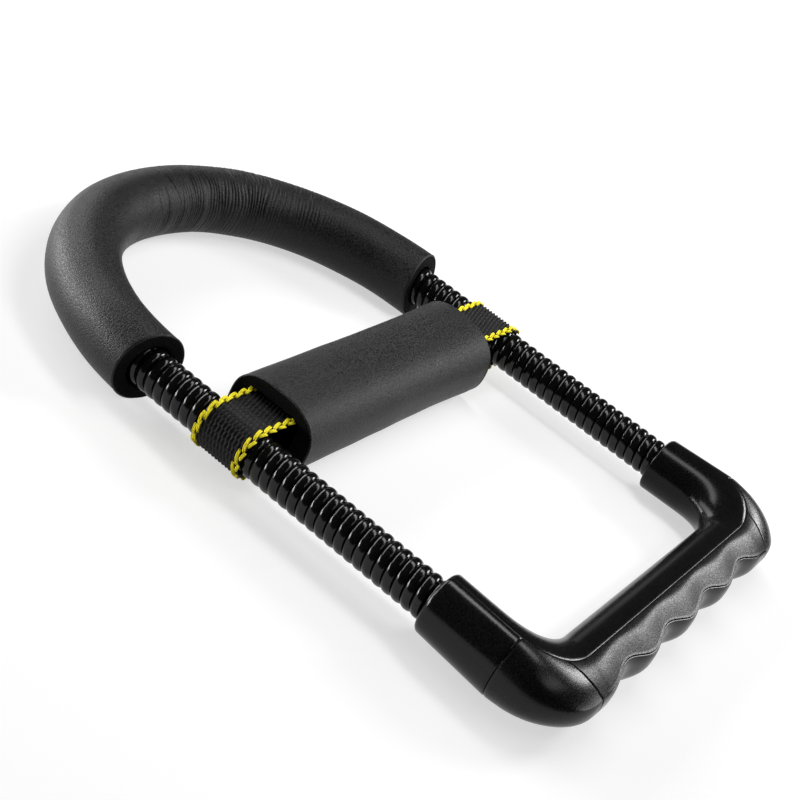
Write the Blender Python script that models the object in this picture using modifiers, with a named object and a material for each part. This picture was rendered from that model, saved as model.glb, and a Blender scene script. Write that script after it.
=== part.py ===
"""Wrist trainer: a padded arm brace, two bending springs, a strap with its pad, and a moulded handle.

It lies flat. X runs across the two arms, +Y runs from the handle to the arm brace, and +Z is up.
Sizes are in millimetres and turn into metres where a shape is built.
"""

import copy
import math

import bmesh
import bpy
from mathutils import Vector

MM = 0.001

# Fits
SEAT_GAP = 0.3
BEND_GAP = 0.5
PARTING_GAP = 0.3
SCREW_GAP = 0.25

# Arms and springs
ARM_SPACING = 172.8
SPRING_DIAMETER = 15.4
WIRE_DIAMETER = 3.45
COIL_PITCH = 4.12
SPRING_IN_FOAM = 10.0
SPRING_IN_SOCKET = 25.0
POINTS_PER_COIL = 8

# Arm brace, along the line down the middle of its foam
BRACE_START_Y = 34.2
BRACE_RISE = 91.5
BRACE_POWER = 2.1
BRACE_STEPS = 28
FOAM_DIAMETER = 28.4
FOAM_END_Y = {"left": 42.7, "right": 37.0}
FOAM_END_TILT = {"left": 12.0, "right": 5.0}
FOAM_REST_CUT = 0.5
BAR_DIAMETER = 6.4
BAR_IN_SPRING = 24.0

# Strap and its pad
STRAP_Y = 1.4
STRAP_WIDTH = 23.4
STRAP_THICKNESS = 1.6
BRAID_DIAMETER = 2.0
LAP_LENGTH = 36.0
PAD_LENGTH = 126.2
PAD_CENTRE_X = -7.0
PAD_BEHIND_STRAP = 1.0
PAD_WIDTH = 39.2
PAD_HEIGHT = 29.8
PAD_LIFT = 1.2
PAD_POWER = 2.4

# Handle
MOUTH_Y = -88.9
MOUTH_RADIUS = 11.6
MOUTH_EDGE = 0.8
ARM_RADIUS = 12.3
GRIP_Y = -136.9
GRIP_RISE = 8.8
GRIP_DROP = 10.6
GRIP_REACH = 13.0
INNER_CORNER = 8.5
TURN_INSET = 4.6
OUTER_CORNER = 22.5
SHELL_WALL = 2.6
TOP_SLOPE = 0.45
LIP_ANGLE = 18.0
LOWER_POWER = 2.8
ELBOW_END_ANGLE = 81.5
CORNER_STEPS = 9
FINGER_PITCH = 33.6
FINGER_DEPTH = 3.4
FINGER_STEPS = 8
RIB_WIDTH = 6.0
RIB_STEP = 0.1
BAR_BEND = 13.0
COLLAR_THICKNESS = 3.0

# Handle screws
SCREW_DROP = 5.3
SCREW_DIAMETER = 2.2
SCREW_LENGTH = 12.0
SCREW_HEAD_DIAMETER = 4.0
SCREW_HEAD_HEIGHT = 1.5
SCREW_HEAD_SEAT = 6.5

# What follows from these sizes
ARM_X = ARM_SPACING / 2
SPRING_RADIUS = SPRING_DIAMETER / 2
COIL_RADIUS = SPRING_RADIUS - WIRE_DIAMETER / 2
SPRING_TOP_Y = FOAM_END_Y["left"] + SPRING_IN_FOAM
SPRING_BOTTOM_Y = MOUTH_Y - SPRING_IN_SOCKET
BORE_RADIUS = SPRING_RADIUS + SEAT_GAP
BAR_RADIUS = BAR_DIAMETER / 2
BAR_CHANNEL_RADIUS = BAR_RADIUS + SEAT_GAP
COLLAR_Y = SPRING_BOTTOM_Y - SEAT_GAP - COLLAR_THICKNESS / 2
BORE_END_Y = COLLAR_Y - COLLAR_THICKNESS / 2 - SEAT_GAP
BRAID_LINE_RADIUS = BORE_RADIUS + BRAID_DIAMETER / 2
BRAID_OFFSET = (STRAP_WIDTH - BRAID_DIAMETER) / 2
WEBBING_WIDTH = STRAP_WIDTH - 2 * (BRAID_DIAMETER + SEAT_GAP)
FLEX_Y = (STRAP_Y - STRAP_WIDTH / 2 + MOUTH_Y) / 2
CREST_REACH = ARM_RADIUS + TURN_INSET
FILLET_EXTRA = INNER_CORNER - TURN_INSET
MIDDLE_Y = (GRIP_REACH - GRIP_Y - BRACE_START_Y - BRACE_RISE - FOAM_DIAMETER / 2) / 2
CORNER_X = -ARM_X + CREST_REACH
FINGER_COUNT = int(-2 * CORNER_X / FINGER_PITCH)
CORNER_Y = GRIP_Y + CREST_REACH
SIDES = {"left": -1, "right": 1}

# Colour, roughness and metallic value of each finish
FINISHES = {
    "foam": ((0.045, 0.045, 0.047), 0.9, 0.0),
    "spring": ((0.012, 0.012, 0.013), 0.22, 0.6),
    "steel": ((0.35, 0.35, 0.36), 0.35, 1.0),
    "spacer": ((0.08, 0.08, 0.085), 0.5, 0.0),
    "handle": ((0.014, 0.014, 0.015), 0.3, 0.0),
    "webbing": ((0.012, 0.012, 0.012), 0.85, 0.0),
    "braid": ((0.9, 0.78, 0.02), 0.7, 0.0),
}

for leftover in list(bpy.data.objects):
    bpy.data.objects.remove(leftover, do_unlink=True)

parts = bpy.data.collections.new("wrist_trainer")
cutters = bpy.data.collections.new("cutters")
for group in (parts, cutters):
    bpy.context.scene.collection.children.link(group)

# The middle of the whole trainer's underside is the origin
stand = bpy.data.objects.new("stand", None)
parts.objects.link(stand)
stand.location = Vector((0, MIDDLE_Y, FOAM_DIAMETER / 2 - FOAM_REST_CUT)) * MM
axis_points = {stand: Vector((0, 0, 0))}

def material(name, finish):
    colour, roughness, metallic = FINISHES[finish]
    made = bpy.data.materials.new(name)
    made.use_nodes = True
    shader = made.node_tree.nodes["Principled BSDF"]
    shader.inputs["Base Color"].default_value = (*colour, 1)
    shader.inputs["Roughness"].default_value = roughness
    shader.inputs["Metallic"].default_value = metallic
    return made


def add_axis(name, point, parent=None):
    """An empty on a joint's axis, which carries what moves there."""
    axis = bpy.data.objects.new(name, None)
    parts.objects.link(axis)
    carry(axis, point, parent)
    axis_points[axis] = Vector(point)
    return axis


def carry(thing, point, parent):
    """Puts a thing at a point of the arms' own frame, on the empty that carries it."""
    thing.parent = parent or stand
    thing.location = (Vector(point) - axis_points[thing.parent]) * MM


def add_part(name, data, finish, parent=None, location=(0, 0, 0), rotation=(0, 0, 0)):
    """Puts mesh or curve data in the scene as a named part with its own material."""
    part = bpy.data.objects.new(name, data)
    parts.objects.link(part)
    data.materials.append(material(name, finish))
    part.rotation_euler = [math.radians(angle) for angle in rotation]
    carry(part, location, parent)
    return part


def smooth(mesh, angle=40):
    mesh.shade_smooth()
    mesh.set_sharp_from_angle(angle=math.radians(angle))


def wire(points, radius, resolution, closed=False, caps=True):
    """Curve data of a round wire through the points."""
    curve = bpy.data.curves.new("wire", "CURVE")
    curve.dimensions = "3D"
    curve.twist_mode = "Z_UP"
    curve.bevel_depth = radius * MM
    curve.bevel_resolution = resolution
    curve.use_fill_caps = caps
    line = curve.splines.new("POLY")
    line.points.add(len(points) - 1)
    for place, point in zip(line.points, points):
        place.co = (*(Vector(point) * MM), 1)
    line.use_cyclic_u = closed
    line.use_smooth = True
    return curve


def plate(loops, thickness):
    """Curve data of a flat outline with its holes, as thick as asked, drawn in its own X and Y."""
    curve = bpy.data.curves.new("outline", "CURVE")
    curve.dimensions = "2D"
    curve.fill_mode = "BOTH"
    curve.extrude = thickness / 2 * MM
    for loop in loops:
        line = curve.splines.new("POLY")
        line.points.add(len(loop) - 1)
        for place, (across, up) in zip(line.points, loop):
            place.co = (across * MM, up * MM, 0, 1)
        line.use_cyclic_u = True
    return curve


def mesh_of(curve):
    """The mesh that a curve makes."""
    carrier = bpy.data.objects.new("carrier", curve)
    cutters.objects.link(carrier)
    evaluated = carrier.evaluated_get(bpy.context.evaluated_depsgraph_get())
    mesh = bpy.data.meshes.new_from_object(evaluated)
    bpy.data.objects.remove(carrier, do_unlink=True)
    return mesh


def box(size, centre):
    body = bmesh.new()
    bmesh.ops.create_cube(body, size=1)
    bmesh.ops.scale(body, vec=Vector(size) * MM, verts=body.verts)
    bmesh.ops.translate(body, vec=Vector(centre) * MM, verts=body.verts)
    mesh = bpy.data.meshes.new("box")
    body.to_mesh(mesh)
    body.free()
    return mesh


def loft(rings):
    """A closed solid through rings with equal numbers of points, with a flat cap at each end."""
    body = bmesh.new()
    rows = [[body.verts.new(Vector(point) * MM) for point in ring] for ring in rings]
    count = len(rows[0])
    for low, high in zip(rows, rows[1:]):
        for k in range(count):
            after = (k + 1) % count
            body.faces.new((low[k], low[after], high[after], high[k]))
    body.faces.new(rows[0])
    body.faces.new(list(reversed(rows[-1])))
    bmesh.ops.recalc_face_normals(body, faces=body.faces)
    mesh = bpy.data.meshes.new("loft")
    body.to_mesh(mesh)
    body.free()
    smooth(mesh)
    return mesh


def cut(part, cutter_mesh, name):
    """Takes a cutter's shape out of a part."""
    cutter = bpy.data.objects.new(name, cutter_mesh)
    cutters.objects.link(cutter)
    carry(cutter, (0, 0, 0), None)
    cutter.hide_render = True
    cutter.display_type = "WIRE"
    taken = part.modifiers.new(name, "BOOLEAN")
    taken.operation = "DIFFERENCE"
    taken.solver = "EXACT"
    taken.object = cutter


def power_point(angle, half_width, half_height, power):
    """A point on an oval, which is squarer the higher its power."""
    cosine = math.cos(angle)
    sine = math.sin(angle)
    across = half_width * math.copysign(abs(cosine) ** (2 / power), cosine)
    up = half_height * math.copysign(abs(sine) ** (2 / power), sine)
    return across, up


def oval(half_width, half_height, power, count):
    return [power_point(2 * math.pi * k / count, half_width, half_height, power) for k in range(count)]


def rounded(half_width, half_height, corner, steps=4):
    """A rectangle with rounded corners."""
    points = []
    for quarter, (side, up) in enumerate(((1, 1), (-1, 1), (-1, -1), (1, -1))):
        for k in range(steps + 1):
            turn = math.pi / 2 * (quarter + k / steps)
            x = side * (half_width - corner) + corner * math.cos(turn)
            y = up * (half_height - corner) + corner * math.sin(turn)
            points.append((x, y))
    return points


# Arm brace: a bent steel bar, the tube round it, and the foam over both

def arm_x_at(y):
    """How far the arms' middle lines are from the middle of the trainer at a height along them."""
    if y <= BRACE_START_Y:
        return ARM_X
    rise = (y - BRACE_START_Y) / BRACE_RISE
    return ARM_X * (1 - rise ** BRACE_POWER) ** (1 / BRACE_POWER)


def arch_turn(y):
    rise = (y - BRACE_START_Y) / BRACE_RISE
    return math.asin(rise ** (BRACE_POWER / 2))


def arch_path(left_y, right_y):
    """The brace's middle line, from a height on the left arm to one on the right arm."""
    first = arch_turn(left_y)
    last = math.pi - arch_turn(right_y)
    shares = [k / BRACE_STEPS for k in range(BRACE_STEPS + 1)]
    shares.insert(1, shares[1] / 5)
    shares.insert(-1, 1 - shares[1])
    path = []
    for share in shares:
        angle = math.pi - (first + (last - first) * share)
        x, rise = power_point(angle, ARM_X, BRACE_RISE, BRACE_POWER)
        path.append(Vector((x, BRACE_START_Y + rise, 0)))
    return path


def direction_at(y, side):
    """Which way an arm's middle line runs at a height along it."""
    step = WIRE_DIAMETER / 2
    return Vector((side * (arm_x_at(y + step) - arm_x_at(y)), step, 0)).normalized()


def sleeve(path, radius, resolution):
    """The open surface of a tube along a path."""
    mesh = mesh_of(wire(path, radius, resolution, caps=False))
    smooth(mesh)
    return mesh


def add_wall(part, wall):
    thick = part.modifiers.new("wall", "SOLIDIFY")
    thick.thickness = wall * MM
    thick.offset = -1
    thick.use_even_offset = True


def tilt_end(mesh, end, radius, side, tilt):
    """Draws the outer side of a bent sleeve's end back, as bending does."""
    for vertex in mesh.vertices:
        away = vertex.co - end * MM
        if away.length < (radius + SEAT_GAP) * MM:
            vertex.co.y += away.x * side * math.tan(math.radians(tilt))


foam_radius = FOAM_DIAMETER / 2
foam_path = arch_path(FOAM_END_Y["left"], FOAM_END_Y["right"])
foam_mesh = sleeve(foam_path, foam_radius, 8)
tilt_end(foam_mesh, foam_path[0], foam_radius, SIDES["left"], FOAM_END_TILT["left"])
tilt_end(foam_mesh, foam_path[-1], foam_radius, SIDES["right"], FOAM_END_TILT["right"])
arm_brace = add_part("arm_brace", foam_mesh, "foam")
add_wall(arm_brace, foam_radius - SPRING_RADIUS - BEND_GAP)
ground = 4 * ARM_X
ground_top = FOAM_REST_CUT - foam_radius
cut(arm_brace, box((ground, ground, ground), (0, BRACE_START_Y, ground_top - ground / 2)), "ground")

spacer_end = SPRING_TOP_Y + BEND_GAP
spacer_mesh = sleeve(arch_path(spacer_end, spacer_end), SPRING_RADIUS, 3)
spacer_tube = add_part("spacer_tube", spacer_mesh, "spacer")
add_wall(spacer_tube, SPRING_RADIUS - BAR_RADIUS - BEND_GAP)

bar_low = SPRING_TOP_Y - BAR_IN_SPRING
bar_path = arch_path(BRACE_START_Y, BRACE_START_Y)
bar_path.insert(0, Vector((-ARM_X, bar_low, 0)))
bar_path.append(Vector((ARM_X, bar_low, 0)))
add_part("frame_bar", wire(bar_path, BAR_RADIUS, 2), "steel")


# Springs: each one wire, coiled round its arm, with a straight end square to each seat

def spring_points(side):
    tail = WIRE_DIAMETER
    bend = WIRE_DIAMETER / 2
    first = SPRING_BOTTOM_Y + tail + bend
    last = SPRING_TOP_Y - tail - bend
    count = round((last - first) / COIL_PITCH * POINTS_PER_COIL)
    points = []
    for k in range(count + 1):
        y = first + (last - first) * k / count
        onward = direction_at(y, side)
        outward = Vector((onward.y, -onward.x, 0))
        turn = 2 * math.pi * k / POINTS_PER_COIL
        spoke = outward * math.cos(turn) + Vector((0, 0, math.sin(turn)))
        points.append(Vector((side * arm_x_at(y), y, 0)) + spoke * COIL_RADIUS)
    low_end = [points[0] - Vector((0, reach, 0)) for reach in (bend + tail, bend)]
    high_end = [points[-1] + direction_at(SPRING_TOP_Y, side) * reach for reach in (bend, bend + tail)]
    return low_end + points + high_end


def least_gap(points):
    """The least space between the wire and its own next turn, measured on the points."""
    least = COIL_PITCH
    for k, point in enumerate(points[2:-2]):
        beyond = points[2:-2][k + POINTS_PER_COIL - 2:k + POINTS_PER_COIL + 3]
        for other in beyond:
            least = min(least, (other - point).length - WIRE_DIAMETER)
    return least


for name, side in SIDES.items():
    coil = spring_points(side)
    add_part(name + "_spring", wire(coil, WIRE_DIAMETER / 2, 1), "spring")
    print(name, "spring's least gap to itself:", round(least_gap(coil), 3), "mm")


# Strap: a webbing loop round both springs, with a braid along each edge

def belt(radius, count=8):
    """The line of a belt round both arms, seen along Y."""
    points = []
    for side in (1, -1):
        for k in range(count + 1):
            turn = math.pi * (k / count - side / 2)
            points.append((side * ARM_X + radius * math.cos(turn), radius * math.sin(turn)))
    return points


strap_axis = add_axis("strap_axis", (0, STRAP_Y, 0))
webbing_loops = (belt(BORE_RADIUS + STRAP_THICKNESS), belt(BORE_RADIUS))
webbing = plate(webbing_loops, WEBBING_WIDTH)
add_part("strap_webbing", webbing, "webbing", strap_axis, (0, STRAP_Y, 0), (90, 0, 0))

lap_z = BORE_RADIUS - SEAT_GAP - STRAP_THICKNESS / 2
lap = box((LAP_LENGTH, WEBBING_WIDTH, STRAP_THICKNESS), (0, 0, 0))
add_part("strap_lap", lap, "webbing", strap_axis, (PAD_CENTRE_X, STRAP_Y, lap_z))

for name, offset in (("strap_braid_upper", BRAID_OFFSET), ("strap_braid_lower", -BRAID_OFFSET)):
    line = [(x, 0, z) for x, z in belt(BRAID_LINE_RADIUS)]
    braid = wire(line, BRAID_DIAMETER / 2, 1, closed=True)
    add_part(name, braid, "braid", strap_axis, (0, STRAP_Y + offset, 0))

pad_axis = add_axis("pad_axis", (PAD_CENTRE_X, STRAP_Y, 0), strap_axis)
bore_corner = BRAID_DIAMETER / 2 + SEAT_GAP
bore_half_width = BRAID_OFFSET + bore_corner
bore_half_height = BRAID_LINE_RADIUS + bore_corner
pad_outline = [(y - PAD_BEHIND_STRAP, z + PAD_LIFT) for y, z in oval(PAD_WIDTH / 2, PAD_HEIGHT / 2, PAD_POWER, 40)]
pad_bore = rounded(bore_half_width, bore_half_height, bore_corner)
pad = plate((pad_outline, pad_bore), PAD_LENGTH)
add_part("pad_sleeve", pad, "foam", pad_axis, (PAD_CENTRE_X, STRAP_Y, 0), (90, 0, 90))


# Handle: half mouldings lofted through cuts across it, which turn about a point inside each corner

class Cut:
    """A cut across the handle: its crest point, its outward direction, its size and its hollow."""

    def __init__(self, crest, outward, back, reach, rise, drop, grip=0.0, groove=0.0, hollow="wall", trim=0.0):
        self.crest = crest
        self.outward = outward
        self.back = back
        self.reach = reach
        self.rise = rise
        self.drop = drop
        self.grip = grip
        self.groove = groove
        self.hollow = hollow
        self.trim = trim

    def mirrored(self):
        other = copy.copy(self)
        other.crest = (-self.crest[0], self.crest[1])
        other.outward = (-self.outward[0], self.outward[1])
        return other

    def finger_reach(self):
        return self.reach - FINGER_DEPTH * self.groove

    def lip(self):
        """Where the sloped top of the grip meets its finger side."""
        across = self.finger_reach()
        for _ in range(8):
            up = self.rise - TOP_SLOPE * across
            across = self.finger_reach() * (1 - (up / self.rise) ** LOWER_POWER) ** (1 / LOWER_POWER)
        return across, up

    def round_point(self, angle, half_width):
        across, up = power_point(angle, half_width, 1, 2)
        return across, up * (self.rise if up > 0 else self.drop)

    def blended(self, degrees, grip_point):
        round_point = self.round_point(math.radians(degrees), self.reach)
        return [a + (b - a) * self.grip for a, b in zip(round_point, grip_point)]

    def top(self, steps=4):
        across, up = self.lip()
        points = []
        for k in range(steps + 1):
            share = k / steps
            slope_point = (across * share, self.rise + (up - self.rise) * share)
            points.append(self.blended(90 + (LIP_ANGLE - 90) * share, slope_point))
        return points

    def lower(self, steps=7):
        up = self.lip()[1]
        start = math.asin((up / self.rise) ** (LOWER_POWER / 2))
        points = []
        for k in range(steps + 1):
            share = k / steps
            turn = start + (-math.pi / 2 - start) * share
            x, z = power_point(turn, self.finger_reach(), 1, LOWER_POWER)
            grip_point = (x, z * (self.rise if z > 0 else self.drop))
            points.append(self.blended(LIP_ANGLE + (-90 - LIP_ANGLE) * share, grip_point))
        return points

    def inner(self, steps=8):
        return [self.round_point(math.pi / 2 + math.pi * k / steps, self.back) for k in range(steps + 1)]

    def ring(self, half):
        """The outline of one moulding at this cut: its outer side, then back along its hollow."""
        shift = PARTING_GAP / 2
        if half == "outer":
            points = self.top() + self.lower()[1:]
        else:
            points = {"inner": self.inner, "top": self.top, "lower": self.lower}[half]()
        lip_place = {"top": len(points) - 1, "lower": 0}.get(half)
        lift = shift if half == "top" else -shift
        inside = []
        outside = []
        for k, (across, up) in enumerate(points):
            raised = lift if k == lip_place else 0
            size = math.hypot(across, up)
            depth = {"bore": BORE_RADIUS, "rib": BAR_CHANNEL_RADIUS, "wall": size - SHELL_WALL}[self.hollow]
            outside.append((across * (1 - self.trim / size), up * (1 - self.trim / size) + raised))
            inside.append((across * depth / size, up * depth / size + raised))
        ring = []
        for across, up in outside + inside[::-1]:
            across = min(across, -shift) if half == "inner" else max(across, shift)
            x = self.crest[0] + self.outward[0] * across
            y = self.crest[1] + self.outward[1] * across
            ring.append((x, y, up))
        return ring


def fillet(past):
    """How much the inner corner's round fills at a distance past its start."""
    past = max(past, 0)
    return INNER_CORNER - math.sqrt(INNER_CORNER ** 2 - past ** 2)


def inner_corner_reach(angle):
    """How far the handle's inner corner is from the point where its cuts turn."""
    along = FILLET_EXTRA * (math.cos(angle) + math.sin(angle))
    return math.sqrt(along ** 2 - 2 * FILLET_EXTRA ** 2 + INNER_CORNER ** 2) - along


def outer_corner_reach(angle):
    """How far the handle's outer corner is from the point where its cuts turn."""
    outer_x = -ARM_X - ARM_RADIUS
    outer_y = GRIP_Y - GRIP_REACH
    round_x = outer_x + OUTER_CORNER
    round_y = outer_y + OUTER_CORNER
    cosine = math.cos(angle)
    sine = math.sin(angle)
    to_arm = (CORNER_X - outer_x) / max(cosine, 1e-6)
    if CORNER_Y - to_arm * sine > round_y:
        return to_arm
    to_grip = (CORNER_Y - outer_y) / max(sine, 1e-6)
    if CORNER_X - to_grip * cosine > round_x:
        return to_grip
    centre = Vector((round_x - CORNER_X, round_y - CORNER_Y))
    along = -centre.x * cosine - centre.y * sine
    return along + math.sqrt(along ** 2 - centre.length_squared + OUTER_CORNER ** 2)


def corner_cut(degrees):
    """A cut through the corner, from 0 at the arm to 90 at the grip."""
    angle = math.radians(degrees)
    outward = (-math.cos(angle), -math.sin(angle))
    crest = (CORNER_X + CREST_REACH * outward[0], CORNER_Y + CREST_REACH * outward[1])
    share = min(degrees / ELBOW_END_ANGLE, 1)
    grip = share * share * (3 - 2 * share)
    rise = ARM_RADIUS + (GRIP_RISE - ARM_RADIUS) * grip
    drop = ARM_RADIUS + (GRIP_DROP - ARM_RADIUS) * grip
    back = CREST_REACH - inner_corner_reach(angle)
    return Cut(crest, outward, back, outer_corner_reach(angle) - CREST_REACH, rise, drop, grip)


def arm_cut(y, hollow, trim=0.0):
    share = (MOUTH_Y - y) / (MOUTH_Y - CORNER_Y)
    radius = MOUTH_RADIUS + (ARM_RADIUS - MOUTH_RADIUS) * share
    back = radius + fillet(CORNER_Y + FILLET_EXTRA - y)
    return Cut((-ARM_X, y), (-1, 0), back, radius, radius, radius, hollow=hollow, trim=trim)


def grip_cut(x, hollow):
    half_length = FINGER_PITCH * FINGER_COUNT / 2
    groove = 0.0
    if abs(x) < half_length:
        phase = 2 * math.pi * (x + half_length) / FINGER_PITCH
        groove = (1 - math.cos(phase)) / 2
    back = ARM_RADIUS + fillet(abs(x) + CORNER_X + FILLET_EXTRA)
    return Cut((x, GRIP_Y), (0, -1), back, GRIP_REACH, GRIP_RISE, GRIP_DROP, 1.0, groove, hollow)


def rib_cuts(x):
    near = RIB_WIDTH / 2
    far = near + RIB_STEP
    places = ((-far, "wall"), (-near, "rib"), (0, "rib"), (near, "rib"), (far, "wall"))
    return [grip_cut(x + offset, hollow) for offset, hollow in places]


def shell(name, cuts, half, side=-1):
    """Adds one moulding of the handle, lofted through its cuts."""
    if side > 0:
        cuts = [each.mirrored() for each in cuts]
    return add_part(name, loft([each.ring(half) for each in cuts]), "handle", handle_axis)


handle_axis = add_axis("handle_axis", (0, FLEX_Y, 0))
parting_turn = math.degrees(PARTING_GAP / 2 / CREST_REACH)
rib_xs = [FINGER_PITCH * k for k in (-1, 0, 1)]

mouth_cuts = [
    arm_cut(MOUTH_Y, "bore", MOUTH_EDGE),
    arm_cut(MOUTH_Y - MOUTH_EDGE, "bore"),
    arm_cut(CORNER_Y + FILLET_EXTRA, "bore"),
    arm_cut(BORE_END_Y, "bore"),
    arm_cut(BORE_END_Y - RIB_STEP, "wall"),
]
cover_cuts = mouth_cuts + [arm_cut(CORNER_Y + PARTING_GAP / 2, "wall")]
elbow_turns = [ELBOW_END_ANGLE * k / CORNER_STEPS for k in range(CORNER_STEPS + 1)]
elbow_turns[0] += parting_turn
elbow_turns[-1] -= parting_turn
elbow_cuts = [corner_cut(turn) for turn in elbow_turns]
grip_end = [corner_cut(ELBOW_END_ANGLE + parting_turn), corner_cut(90)]
other_end = [each.mirrored() for each in reversed(grip_end)]

finger_cuts = []
for k in range(FINGER_COUNT * FINGER_STEPS + 1):
    x = FINGER_PITCH * (k / FINGER_STEPS - FINGER_COUNT / 2)
    if any(abs(x - rib) < RIB_STEP for rib in rib_xs):
        finger_cuts += rib_cuts(x)
    else:
        finger_cuts.append(grip_cut(x, "wall"))

inner_half = mouth_cuts + [corner_cut(turn) for turn in (0, 15, 30, 45, 60, 75, 90)]
inner_half.append(grip_cut(CORNER_X + FILLET_EXTRA, "wall"))
inner_cuts = inner_half + rib_cuts(rib_xs[0]) + rib_cuts(rib_xs[1]) + rib_cuts(rib_xs[2])
inner_cuts += [each.mirrored() for each in reversed(inner_half)]

inner_shell = shell("handle_inner_shell", inner_cuts, "inner")
for name, side in SIDES.items():
    shell(name + "_socket_cover", cover_cuts, "outer", side)
    shell(name + "_elbow_cap", elbow_cuts, "outer", side)
shell("grip_top_shell", grip_end + finger_cuts + other_end, "top")
finger_grip = shell("finger_grip", grip_end + finger_cuts + other_end, "lower")


# Handle bar: a bent steel bar through the grip into both springs, with a collar under each spring

bar_points = [Vector((-ARM_X, SPRING_BOTTOM_Y + BAR_IN_SPRING, 0))]
for k in range(7):
    turn = math.pi / 2 * k / 6
    x = -ARM_X + BAR_BEND * (1 - math.cos(turn))
    y = GRIP_Y + BAR_BEND * (1 - math.sin(turn))
    bar_points.append(Vector((x, y, 0)))
bar_points += [Vector((-point.x, point.y, 0)) for point in reversed(bar_points)]
add_part("handle_bar", wire(bar_points, BAR_RADIUS, 2), "steel", handle_axis)

collar_loops = (oval(SPRING_RADIUS, SPRING_RADIUS, 2, 24), oval(BAR_CHANNEL_RADIUS, BAR_CHANNEL_RADIUS, 2, 24))
for name, side in SIDES.items():
    collar = plate(collar_loops, COLLAR_THICKNESS)
    add_part(name + "_collar", collar, "steel", handle_axis, (side * ARM_X, COLLAR_Y, 0), (90, 0, 0))


# Handle screws: through the inner shell's ribs, under the bar, into the finger grip

def turned(profile, count=16):
    """A turned solid along -Y, through pairs of distance along and radius."""
    return [
        [
            (
                radius * math.cos(2 * math.pi * k / count),
                -along,
                radius * math.sin(2 * math.pi * k / count),
            )
            for k in range(count)
        ]
        for along, radius in profile
    ]


def placed(rings, offset):
    return [[Vector(point) + Vector(offset) for point in ring] for ring in rings]


shank = SCREW_DIAMETER / 2
head = SCREW_HEAD_DIAMETER / 2
tip = SCREW_LENGTH + SCREW_DIAMETER
screw = turned([
    (-SCREW_HEAD_HEIGHT, head),
    (0, head),
    (0, shank),
    (SCREW_LENGTH, shank),
    (tip, shank / 3),
])
head_hole = head + SCREW_GAP
shank_hole = shank + SCREW_GAP
screw_hole = turned([
    (-2 * ARM_RADIUS, head_hole),
    (SCREW_GAP, head_hole),
    (SCREW_GAP, shank_hole),
    (tip + SCREW_GAP, shank_hole),
])
for name, x in zip(("left", "middle", "right"), rib_xs):
    seat = (x, GRIP_Y + SCREW_HEAD_SEAT, -SCREW_DROP)
    add_part(name + "_screw", loft(placed(screw, seat)), "steel", handle_axis)
    for part in (inner_shell, finger_grip):
        cut(part, loft(placed(screw_hole, seat)), "screw_hole")
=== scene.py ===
"""The looks of a wrist trainer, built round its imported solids.

Sizes are in millimetres, measured from the middle of the arms as the part's source has them, with X across
the arms, +Y from the handle to the arm brace and +Z up. place() turns them into metres in the row frame.
"""

import math

import bmesh
import bpy
import numpy as np
from mathutils import Matrix, Vector


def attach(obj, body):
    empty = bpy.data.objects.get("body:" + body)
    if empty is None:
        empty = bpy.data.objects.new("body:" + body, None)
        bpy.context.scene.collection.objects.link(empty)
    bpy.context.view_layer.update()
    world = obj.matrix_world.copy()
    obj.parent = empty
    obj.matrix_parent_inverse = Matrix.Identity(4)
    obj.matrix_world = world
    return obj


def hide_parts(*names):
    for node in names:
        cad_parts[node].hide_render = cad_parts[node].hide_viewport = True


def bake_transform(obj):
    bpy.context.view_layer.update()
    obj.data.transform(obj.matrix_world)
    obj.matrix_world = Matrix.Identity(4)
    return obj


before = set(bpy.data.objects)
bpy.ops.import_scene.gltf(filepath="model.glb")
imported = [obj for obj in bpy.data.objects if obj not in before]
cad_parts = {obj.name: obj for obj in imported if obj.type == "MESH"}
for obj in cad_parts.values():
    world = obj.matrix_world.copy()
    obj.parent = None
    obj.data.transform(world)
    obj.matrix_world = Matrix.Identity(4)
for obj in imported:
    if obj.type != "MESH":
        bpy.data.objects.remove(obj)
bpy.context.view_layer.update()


# Arm brace foam
# A closed-cell foam tube, cut square, pushed over the bent bar and both springs' ends. Bending has drawn its
# cut ends aslant and crinkled its skin on the inside and the top of the bend. Its underside is pressed a
# little flat where it lies on the floor.

ARMS_MIDDLE = np.array((0.0, 5.0, 13.7))
ARM_X = 86.4
BEND_START_Y = 34.2
BEND_RISE = 91.5
BEND_POWER = 2.1
FOAM_RADIUS = 14.2
FOAM_BORE_RADIUS = 8.5
FOAM_REST_CUT = 0.5
FOAM_END_Y = (42.7, 37.0)
FOAM_END_TILT = (12.0, 5.0)
FOAM_END_NOD = (0.0, 9.0)
FOAM_END_PULL = 30.0
FOAM_EDGE = 0.7
FOAM_EDGE_INSETS = (0.4, 0.2, 0.07, 0.0)
FOAM_FACE_STEPS = ((0.0, 12.2), (0.0, 10.6), (0.0, 9.2), (0.2, 8.7), (0.7, FOAM_BORE_RADIUS))
FOAM_INSET = 0.1
FOAM_SWELL = 0.16
FOAM_STEP = 0.27
FOAM_SIDES = 72
BORE_START = 4.0
BORE_RINGS = 70
BEND_POINTS = 3000
CRINKLES = ((0.34, 1.75), (0.12, 2.9))
CRINKLE_WANDER = ((0.9, 40, 7), (0.25, 110, 12))
CRINKLE_SHIFT = 0.9
CRINKLE_USUAL = 0.8
CRINKLE_VARIES = 0.6
CRINKLE_LEAST = 0.1
CRINKLE_MOST = 1.4
CRINKLE_INSIDE = 0.45
CRINKLE_TOP = 0.55
CRINKLE_MIDDLE = 0.60
CRINKLE_SPAN = 1.6
CRINKLE_FADE = 0.16


def place(points):
    """Millimetres from the middle of the arms, as metres in the row frame."""
    return (np.asarray(points, float) + ARMS_MIDDLE) / 1000


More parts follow.
